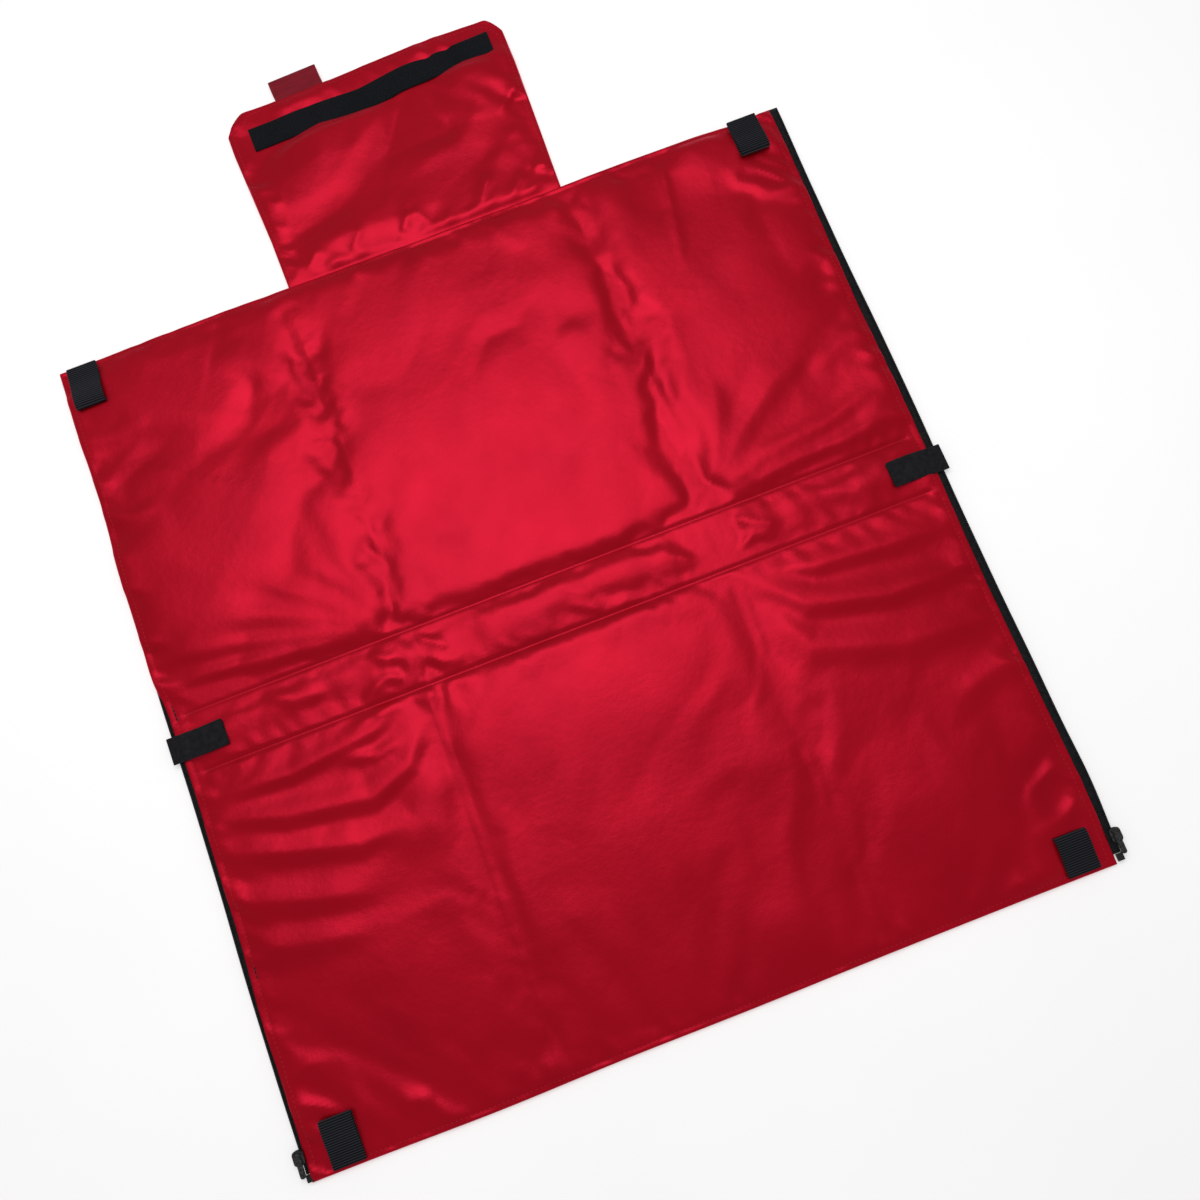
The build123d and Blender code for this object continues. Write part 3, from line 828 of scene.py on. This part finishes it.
def sew(sheet, regions, routes, name, upward, to_grid=None):
    """Stitches along routes on a sheet, split by region so that each is held as its cloth is."""
    shape = np.array([(-1, 0, 0), (0, -1, 0), (0, 0, 1), (0, 1, 0), (1, 0, 0)]) * STITCH_HALF
    corners = [(0, 1, 2), (0, 2, 3), (4, 2, 1), (4, 3, 2)]
    x, y, way = [np.concatenate(parts) for parts in zip(*[stitch_places(r) for r in routes])]
    next_x, next_y = x + way[:, 0], y + way[:, 1]
    grid_x, next_grid_x = x, next_x
    if to_grid:
        grid_x, next_grid_x = to_grid(x, y), to_grid(next_x, next_y)
    spot, normal = sheet.at(grid_x, y)
    along = unit(sheet.at(next_grid_x, next_y)[0] - spot)
    if not upward:
        normal = -normal
    beside = np.cross(normal, along)
    for region, (x0, x1), (y0, y1), hold, _ in regions:
        chosen = np.nonzero((grid_x >= x0) & (grid_x < x1) & (y >= y0) & (y < y1))[0]
        if not len(chosen):
            continue
        points, faces = [], []
        for k in chosen:
            faces.extend(tuple(len(points) + i for i in corner) for corner in corners)
            for a, b, c in shape:
                points.append(spot[k] + along[k] * a + beside[k] * b + normal[k] * (c - 0.05))
        piece = make_mesh(f"{region}_{name}", points, faces, THREAD)
        ride_or_bend(piece, hold)
        if upward:
            flatten_face(piece, hold)


def flap_grid(x, y):
    """Grid coordinate across the flap for a layout place."""
    left, right = flap_edge("left", y), flap_edge("right", y)
    return FLAP_SPAN[0] + (x - left) / (right - left) * (FLAP_SPAN[1] - FLAP_SPAN[0])


def mat_stitch_routes():
    side, end = HALF_WIDTH - SIDE_HEM, HEM_Y - END_HEM
    routes = [[(s * side, -end), (s * side, 0), (s * side, end)] for s in (-1, 1)]
    routes += [[(-side, s * end), (0, s * end), (side, s * end)] for s in (-1, 1)]
    routes += [[(-side, s * SEAM_Y), (0, s * SEAM_Y), (side, s * SEAM_Y)] for s in (-1, 1)]
    return routes


def flap_stitch_routes():
    ys = (FLAP_SEAM_Y + 4, 470, 540, FLAP_END_Y - 24)
    routes = [[(flap_edge(side, y) - sign * 5, y) for y in ys] for side, sign in SIDES.items()]
    left = [(-129, 584), (-118, 594), (-100, FLAP_END_Y - 5)]
    right = [(100, FLAP_END_Y - 5), (134, 594), (146, 584)]
    start, end = (flap_edge("left", ys[-1]) + 5, ys[-1]), (flap_edge("right", ys[-1]) - 5, ys[-1])
    routes.append([start, *left, (0, FLAP_END_Y - 5), *right, end])
    return routes


# ---------------------------------------------------------------- trims
def make_hook_strip(lining):
    low, high = node_box("hook_strip")
    xs = np.linspace(low[0] - 2, high[0] - 2, 130)
    ys = strip_line(xs)
    spots = lining.at(flap_grid(xs, ys), ys)[0]
    spots[:, 2] += 0.7
    width = high[1] - low[1] + 0.6 + 0.5 * np.sin(xs / 19) + 0.3 * np.sin(xs / 7)
    piece = strap("hook_tape", spots, (0, 1, 0), width, high[2] - low[2], HOOK)
    finish_piece(piece, "flap_front", "hook_tape_black", "hook_strip")


def make_loop_strip():
    low, high = node_box("loop_strip")
    xs = np.linspace(low[0], high[0], 90)
    middle = (low[1] + high[1]) / 2
    route = np.stack([xs, middle + 0.8 * np.sin(xs / 40), 1.35 + 0.15 * np.sin(xs / 17)], axis=1)
    piece = strap("loop_tape", route, (0, 1, 0), high[1] - low[1], 2.4, LOOP)
    finish_piece(piece, "lower_centre", "loop_tape_black", "loop_strip")


def make_label():
    low, high = node_box("blank_label")
    middle = (low[0] + high[0]) / 2
    edge = [(middle + 1, low[1], RIM_Z), (middle, FLAP_END_Y + 2, RIM_Z + 0.3)]
    free = [(middle - 0.5, 609, 4.6), (middle - 1, high[1] + 1, 5.4)]
    route = smooth_route(edge + free, 1.0)
    piece = strap("woven_label", route, (1, 0.02, 0), high[0] - low[0], 0.9, LABEL)
    finish_piece(piece, "flap_front", "woven_label_red", "blank_label")


LOOP_LIFT = {"upper": 4.2, "lower": 3.2}  # how far the loops' round ends stand up
LOOP_SIDE = [  # share of the loop's length and of its lift, from its root and back under itself
    (0, 0), (0.4, 0.04), (0.72, 0.14), (0.9, 0.3), (0.975, 0.62), (1.0, 1.05),
    (0.97, 1.5), (0.87, 1.78), (0.66, 1.55), (0.36, 0.85), (0, 0.42),
]


def make_corner_loop(side, row, sheet):
    """Webbing loop sewn at a corner. It lies on the face and its round end lifts a little."""
    name = f"corner_loop_{row}_{side}"
    low, high = node_box(name)
    sign = 1 if row == "upper" else -1
    root = high[1] if row == "upper" else low[1]
    length, middle = high[1] - low[1], (low[0] + high[0]) / 2
    reach = np.linspace(0, length, 9)
    base = sheet.at(np.full(9, middle), root - sign * reach)[0][:4, 2].max() + 0.8
    lift = LOOP_LIFT[row]
    places = [(middle, root - sign * length * a, base + lift * h) for a, h in LOOP_SIDE]
    route, width = smooth_route(places, 0.35), high[0] - low[0]
    piece = strap(f"{name}_webbing", route, (-sign, 0, 0), width, 1.3, RIBBED, 0.3, RIB_PITCH)
    finish_piece(piece, name, "ribbed_webbing_black", name)
    flatten_in_fold(piece)


def make_side_tab(side, sheet):
    name = f"side_tab_{side}"
    low, high = node_box(name)
    sign = SIDES[side]
    outer, inner = (low[0], high[0]) if side == "left" else (high[0], low[0])
    xs = np.linspace(outer, inner, 60)
    ground = sheet.at(np.clip(xs, -HALF_WIDTH, HALF_WIDTH), np.zeros(60))[0][:, 2]
    ground = np.convolve(np.pad(ground, 8, mode="edge"), np.ones(17) / 17, mode="valid")
    ground = np.maximum(ground, FACE_Z + 1)
    route = np.stack([xs, -1.0 + 0.4 * np.sin(xs / 9), ground + 1.4], axis=1)
    width = high[1] - low[1] + 1
    piece = strap(f"{name}_tape", route, (0, -sign, 0), width, 1.9, SMOOTH_TAPE, 0.03, 2.2, 2.0)
    finish_piece(piece, name, "smooth_webbing_black", name)
    flatten_in_fold(piece)


# from the end of a leg: how far towards the middle, and how far from the hem
HANDLE_ARCH = ((0, 1), (0, 24), (0, 44), (7, 58), (29, 79), (56, 92))
HANDLE_REACH = 95.0
LEG_WIDTH, GRIP_WIDTH = 28.0, 15.0


def make_handle():
    """Strap with flat legs and a grip folded lengthwise, lying under the upper hem."""
    low, high = node_box("handle_strap")
    middle = (low[0] + high[0]) / 2
    left, right = low[0] + LEG_WIDTH / 2, high[0] - LEG_WIDTH / 2
    down = [(left + a, high[1] - b) for a, b in HANDLE_ARCH]
    up = [(right - a, high[1] - b) for a, b in reversed(HANDLE_ARCH)]
    top = [(middle, high[1] - HANDLE_REACH)]
    route = smooth_route([(x, y, 1.35) for x, y in down + top + up], 1.5)
    from_leg = high[1] - route[:, 1]
    narrow = smooth((from_leg - 45) / 9)
    width = LEG_WIDTH + (GRIP_WIDTH - LEG_WIDTH) * narrow
    thick = 1.3 + 1.1 * narrow
    ahead = np.gradient(route, axis=0)
    across = np.stack([-ahead[:, 1], ahead[:, 0], np.zeros(len(route))], axis=1)
    piece = strap("handle_webbing", route, across, width, thick, HANDLE_CLOTH)
    finish_piece(piece, "handle", "handle_strap_red", "handle_strap")


# ---------------------------------------------------------------- zips
COIL_PITCH, COIL_WIRE = 1.7, 0.36


def zip_edge(side, y):
    """X of the zip's outer edge, which wanders a little with the cloth."""
    return SIDES[side] * (ZIP_EDGE + 0.7 * np.sin(y / 53) + 2.2 * near(y + 322, 46) * (side == "right"))


def zip_lift(y):
    """How far the zip's edge waves up and down."""
    return 0.25 * np.sin(y / 19) * smooth((HEM_Y - np.abs(y)) / 20)


def make_zip(side, row):
    sign, body = SIDES[side], f"{row}_{side}"
    tape, coil = f"zip_tape_{row}_{side}", f"zip_coil_{row}_{side}"
    (low, high), (coil_low, coil_high) = node_box(tape), node_box(coil)
    ends = {"upper": (SEAM_Y, high[1]), "spine": (-SEAM_Y, SEAM_Y), "lower": (low[1], -SEAM_Y)}
    start, end = ends[row]
    ys = np.linspace(start, end, max(8, int((end - start) / 5)))
    width, level = high[0] - low[0], (low[2] + high[2]) / 2 + zip_lift(ys)
    route = np.stack([zip_edge(side, ys) - sign * width / 2, ys, level], axis=1)
    piece = strap(f"{tape}_cloth", route, (-1, 0, 0), width, high[2] - low[2], ZIP_CLOTH)
    finish_piece(piece, body, "zip_tape_black", tape)

    turns = int((end - start) / COIL_PITCH)
    angle = np.arange(turns * 8 + 1) * math.pi / 4
    y = start + angle / (2 * math.pi) * COIL_PITCH
    wide, tall = (coil_high[0] - coil_low[0]) / 2, (coil_high[2] - coil_low[2]) / 2
    level = (coil_low[2] + coil_high[2]) / 2 + zip_lift(y)
    centre = np.stack([zip_edge(side, y) - sign * wide, y, level], axis=1)
    spoke = np.stack([np.cos(angle), np.zeros(angle.shape), np.sin(angle)], axis=1)
    path = centre + spoke * np.array((wide - COIL_WIRE, 1, tall - COIL_WIRE * 0.6))
    beside = np.cross(unit(np.gradient(path, axis=0)), spoke)
    around = np.arange(4) * math.pi / 2
    ring = [path + COIL_WIRE * (spoke * math.cos(a) + beside * math.sin(a)) for a in around]
    points = np.stack(ring, axis=1).reshape(-1, 3)
    piece = make_mesh(f"{coil}_wire", points, tube_faces(len(path), 4), COIL)
    finish_piece(piece, body, "zip_coil_black", coil)


def dress_node(name, material, edge):
    """Gives a CAD node that stays its finish, and breaks its sharp edges."""
    piece = frame["nodes"][name]
    piece.data.materials.clear()
    piece.data.materials.append(material)
    bevel = piece.modifiers.new("edges", "BEVEL")
    bevel.width = edge / 1000
    bevel.segments = 2
    bevel.limit_method = "ANGLE"


# ---------------------------------------------------------------- materials
def socket_label(key):
    return key.replace("_", " ").title()


def node(tree, kind, **settings):
    """Adds a node. A setting names an input by its label, or else an attribute."""
    made = tree.nodes.new(kind)
    for key, value in settings.items():
        target = made.inputs.get(socket_label(key))
        if target is None:
            setattr(made, key, value)
        elif isinstance(value, bpy.types.NodeSocket):
            tree.links.new(value, target)
        else:
            target.default_value = value
    return made


def object_place(tree, scale):
    """Place on the object, scaled."""
    place = node(tree, "ShaderNodeTexCoord").outputs["Object"]
    return node(tree, "ShaderNodeMapping", vector=place, scale=scale).outputs["Vector"]


def calculate(tree, operation, *values):
    made = node(tree, "ShaderNodeMath", operation=operation)
    for value, socket in zip(values, made.inputs):
        if isinstance(value, bpy.types.NodeSocket):
            tree.links.new(value, socket)
        else:
            socket.default_value = value
    return made.outputs[0]


# A pattern is a function that builds its nodes in a tree and gives their output.
def noise(size, stretch=(1, 1, 1), detail=3.0):
    """Noise with features about `size` metres across, stretched along the axes."""

    def build(tree):
        place = object_place(tree, [1 / (size * s) for s in stretch])
        made = node(tree, "ShaderNodeTexNoise", vector=place, scale=1.0, detail=detail)
        return made.outputs["Fac"]

    return build


def ribs(axis, pitch):
    """Sine ridges a pitch apart along one axis of the object."""

    def build(tree):
        place = node(tree, "ShaderNodeTexCoord").outputs["Object"]
        along = node(tree, "ShaderNodeSeparateXYZ", vector=place).outputs[axis]
        return calculate(tree, "SINE", calculate(tree, "MULTIPLY", along, 2 * math.pi / pitch))

    return build


def weave(pitch):
    """Plain weave: threads along X and Y that pass over and under each other."""

    def build(tree):
        threads = [ribs(axis, 2 * pitch)(tree) for axis in "XY"]
        return calculate(tree, "MULTIPLY", *threads)

    return build


def twist(tree):
    """Slanting bands of a twisted thread."""
    place = object_place(tree, (1500, 1500, 1500))
    settings = {"bands_direction": "DIAGONAL", "vector": place, "scale": 1.0}
    return node(tree, "ShaderNodeTexWave", **settings).outputs["Fac"]


def hook_rows(tree):
    """Distance from the nearest of many small hooks."""
    place = object_place(tree, (650, 650, 650))
    dots = node(tree, "ShaderNodeTexVoronoi", vector=place, scale=1.0, randomness=0.35)
    return dots.outputs["Distance"]


def ramp(tree, pattern, *stops):
    """Shades between stops of (value, grey or colour) as a pattern rises."""
    made = node(tree, "ShaderNodeValToRGB", fac=pattern(tree))
    for element, (position, shade) in zip(made.color_ramp.elements, stops):
        element.position = position
        element.color = (*shade, 1) if isinstance(shade, tuple) else (shade, shade, shade, 1)
    return made.outputs["Color"]


def patches(pattern, dark, light):
    """What ramp needs for a colour that drifts between two shades."""
    return pattern, (0.3, dark), (0.7, light)


def make_material(name, color, roughness, specular=0.5, shade=(), rough=(), bumps=(), **constants):
    """A Principled material with its constants on the shader's own sockets.

    shade and rough are what ramp needs, and bumps are (pattern, strength, distance)."""
    material = bpy.data.materials.new(name)
    material.use_nodes = True
    tree = material.node_tree
    shader = tree.nodes["Principled BSDF"]
    shader.inputs["Base Color"].default_value = (*color, 1)
    shader.inputs["Roughness"].default_value = roughness
    shader.inputs["Specular IOR Level"].default_value = specular
    for key, value in constants.items():
        shader.inputs[socket_label(key)].default_value = value
    if shade:
        tree.links.new(ramp(tree, *shade), shader.inputs["Base Color"])
    if rough:
        tree.links.new(ramp(tree, *rough), shader.inputs["Roughness"])
    end = shader.inputs["Normal"]
    for pattern, strength, distance in reversed(bumps):
        height = pattern(tree)
        bump = node(tree, "ShaderNodeBump", height=height, strength=strength, distance=distance)
        tree.links.new(bump.outputs["Normal"], end)
        end = bump.inputs["Normal"]
    return material


def outer_red(name):
    return make_material(
        name,
        (0.4, 0.005, 0.018),
        0.82,
        0.25,
        patches(noise(0.02, detail=6.0), (0.385, 0.0042, 0.0165), (0.415, 0.0054, 0.0195)),
        bumps=[
            (noise(0.02, detail=4.0), 0.25, 0.002),
            (noise(0.0016, (16, 1, 1), 2.0), 0.2, 0.0004),
            (weave(0.0009), 0.5, 0.00025),
        ],
        sheen_weight=0.25,
        sheen_tint=(1.0, 0.35, 0.4, 1),
    )


def black_cloth(name, color, roughness, pitch, fuzz):
    """Black webbing or tape: a weave, fluff and a faint grey wear."""
    light = tuple(2.2 * c + 0.002 for c in color)
    return make_material(
        name,
        color,
        roughness,
        0.09,
        patches(noise(0.004, detail=5.0), color, light),
        bumps=[(noise(0.0007), 0.5, 0.0004), (weave(pitch), 0.6, 0.0003)],
        sheen_weight=fuzz,
        sheen_roughness=0.6,
    )


SATIN = make_material(
    "inner_satin_red",
    (0.48, 0.003, 0.007),
    0.42,
    shade=patches(noise(0.09), (0.44, 0.0025, 0.0060), (0.51, 0.0035, 0.0085)),
    rough=patches(noise(0.035), 0.32, 0.385),
    bumps=[
        (noise(0.007, detail=4.0), 0.16, 0.0012),
        (noise(0.0012, (22, 1, 1), 2.0), 0.1, 0.0003),
        (weave(0.0006), 0.12, 0.0001),
    ],
    metallic=0.5,
    specular_tint=(1.0, 0.22, 0.72, 1),
)
OUTER = outer_red("outer_cloth_red")
HANDLE_CLOTH = outer_red("handle_strap_red")
THREAD = make_material("thread_red", (0.52, 0.010, 0.026), 0.6, 0.3, bumps=[(twist, 0.4, 0.0002)])
LABEL = make_material(
    "woven_label_red",
    (0.27, 0.008, 0.022),
    0.55,
    0.2,
    patches(noise(0.003, (6, 1, 1), 2.0), (0.23, 0.006, 0.017), (0.31, 0.010, 0.027)),
    bumps=[(weave(0.0005), 0.8, 0.0002)],
)
# hook tape has close rows of small hooks; its colour is a painted highlight at each hook and painted
# shade between them
HOOK = make_material(
    "hook_tape_black",
    (0.008, 0.009, 0.013),
    0.55,
    0.1,
    (hook_rows, (0.15, (0.012, 0.014, 0.020)), (0.55, (0.003, 0.004, 0.006))),
    bumps=[(noise(0.005), 0.5, 0.001), (hook_rows, 1.0, 0.0012)],
    sheen_weight=0.02,
)
# the corner loops' webbing has raised cords across it; its colour is a painted highlight on each cord's
# crest and painted shade in the valleys between
RIBBED = make_material(
    "ribbed_webbing_black",
    (0.012, 0.013, 0.017),
    0.6,
    0.12,
    (ribs("Y", RIB_PITCH / 1000), (0.0, (0.0035, 0.0038, 0.0060)), (0.9, (0.034, 0.037, 0.048))),
    bumps=[(noise(0.0007), 0.5, 0.0004), (ribs("Y", RIB_PITCH / 1000), 0.5, 0.0004)],
    sheen_weight=0.03,
)
LOOP = black_cloth("loop_tape_black", (0.014, 0.014, 0.017), 0.95, 0.0012, 0.3)
SMOOTH_TAPE = black_cloth("smooth_webbing_black", (0.006, 0.006, 0.008), 0.66, 0.0008, 0.05)
ZIP_CLOTH = black_cloth("zip_tape_black", (0.006, 0.007, 0.008), 0.8, 0.0010, 0.05)
METAL = make_material(
    "zip_metal_dark",
    (0.03, 0.03, 0.034),
    0.38,
    shade=patches(noise(0.002, detail=5.0), (0.02, 0.02, 0.023), (0.09, 0.088, 0.085)),
    bumps=[(noise(0.0008), 0.2, 0.0002)],
    metallic=0.85,
)
COIL = make_material(
    "zip_coil_black",
    (0.010, 0.010, 0.011),
    0.42,
    0.35,
    patches(noise(0.003), (0.007, 0.007, 0.008), (0.016, 0.016, 0.017)),
)

# ---------------------------------------------------------------- camera
EYE = (2.5, -231.4, 1092.0 + FACE_Z)
LOOKING = Vector((0.0290, 0.1975, -0.9799)).normalized()
HEAD_UP = Vector((0.3590, 0.9128, 0.1946))
FLOOR_HALF = 14.0  # metres


def make_camera():
    data = bpy.data.cameras.new("camera")
    data.lens = data.sensor_width
    data.clip_start = 0.01
    camera = add_object("camera", data)
    right = LOOKING.cross(HEAD_UP).normalized()
    up = right.cross(LOOKING)
    turn = Matrix((right, up, -LOOKING)).transposed()
    camera.matrix_world = Matrix.Translation(Vector(to_frame(EYE))) @ turn.to_4x4()
    bpy.context.scene.camera = camera


def make_light(name, place, aim, size, power):
    """A soft rectangular light at a layout place, aimed at another."""
    data = bpy.data.lights.new(name, "AREA")
    data.shape = "RECTANGLE"
    data.size, data.size_y = size
    data.energy = power
    light = add_object(name, data)
    place, aim = Vector(to_frame(place)), Vector(to_frame(aim))
    light.location = place
    light.rotation_euler = (aim - place).to_track_quat("-Z", "Y").to_euler()


def make_studio():
    world = bpy.data.worlds.new("studio")
    bpy.context.scene.world = world
    world.use_nodes = True
    background = world.node_tree.nodes["Background"]
    background.inputs["Color"].default_value = (1.0, 0.98, 0.98, 1)
    background.inputs["Strength"].default_value = 0.43
    make_light("window", (-30, 480, 1500), (0, 110, 0), (1.15, 1.0), 9.0)
    bpy.context.scene.view_settings.view_transform = "Standard"

    floor = square_mesh("floor", FLOOR_HALF, 0)
    pale = make_material(
        "floor_white",
        (0.88, 0.88, 0.88),
        0.7,
        shade=patches(noise(0.4), (0.84, 0.84, 0.84), (0.88, 0.88, 0.88)),
        emission_color=(1, 1, 1, 1),
        emission_strength=0.4,
    )
    floor.materials.append(pale)
    stand = add_object("floor", floor)


make_camera()
make_studio()

face, cover = mat_layers()
make_layer(face, mat_regions(), "satin", SATIN, True, ("face", "core", "gathers"))
make_layer(cover, mat_regions(), "shell", OUTER, False, ("cover",))
lining, flap_cover = flap_layer(True, 3.0), flap_layer(False, 6.0)
make_layer(lining, flap_regions(), "satin", SATIN, True, ("lining",))
make_layer(flap_cover, flap_regions(), "shell", OUTER, False, ("cover",))

sew(face, mat_regions(), mat_stitch_routes(), "stitches", True)
sew(cover, mat_regions(), mat_stitch_routes(), "under_stitches", False)
sew(lining, flap_regions(), flap_stitch_routes(), "stitches", True, flap_grid)
sew(flap_cover, flap_regions(), flap_stitch_routes(), "under_stitches", False, flap_grid)

make_hook_strip(lining)
make_loop_strip()
make_label()
make_handle()
for side_name in SIDES:
    for row_name in ("upper", "lower"):
        make_corner_loop(side_name, row_name, face)
    make_side_tab(side_name, face)
    for row_name in ("upper", "spine", "lower"):
        make_zip(side_name, row_name)
    dress_node(f"slider_{side_name}", METAL, 0.25)
    dress_node(f"puller_{side_name}", METAL, 0.2)
    dress_node(f"zip_stop_{side_name}", COIL, 0.3)
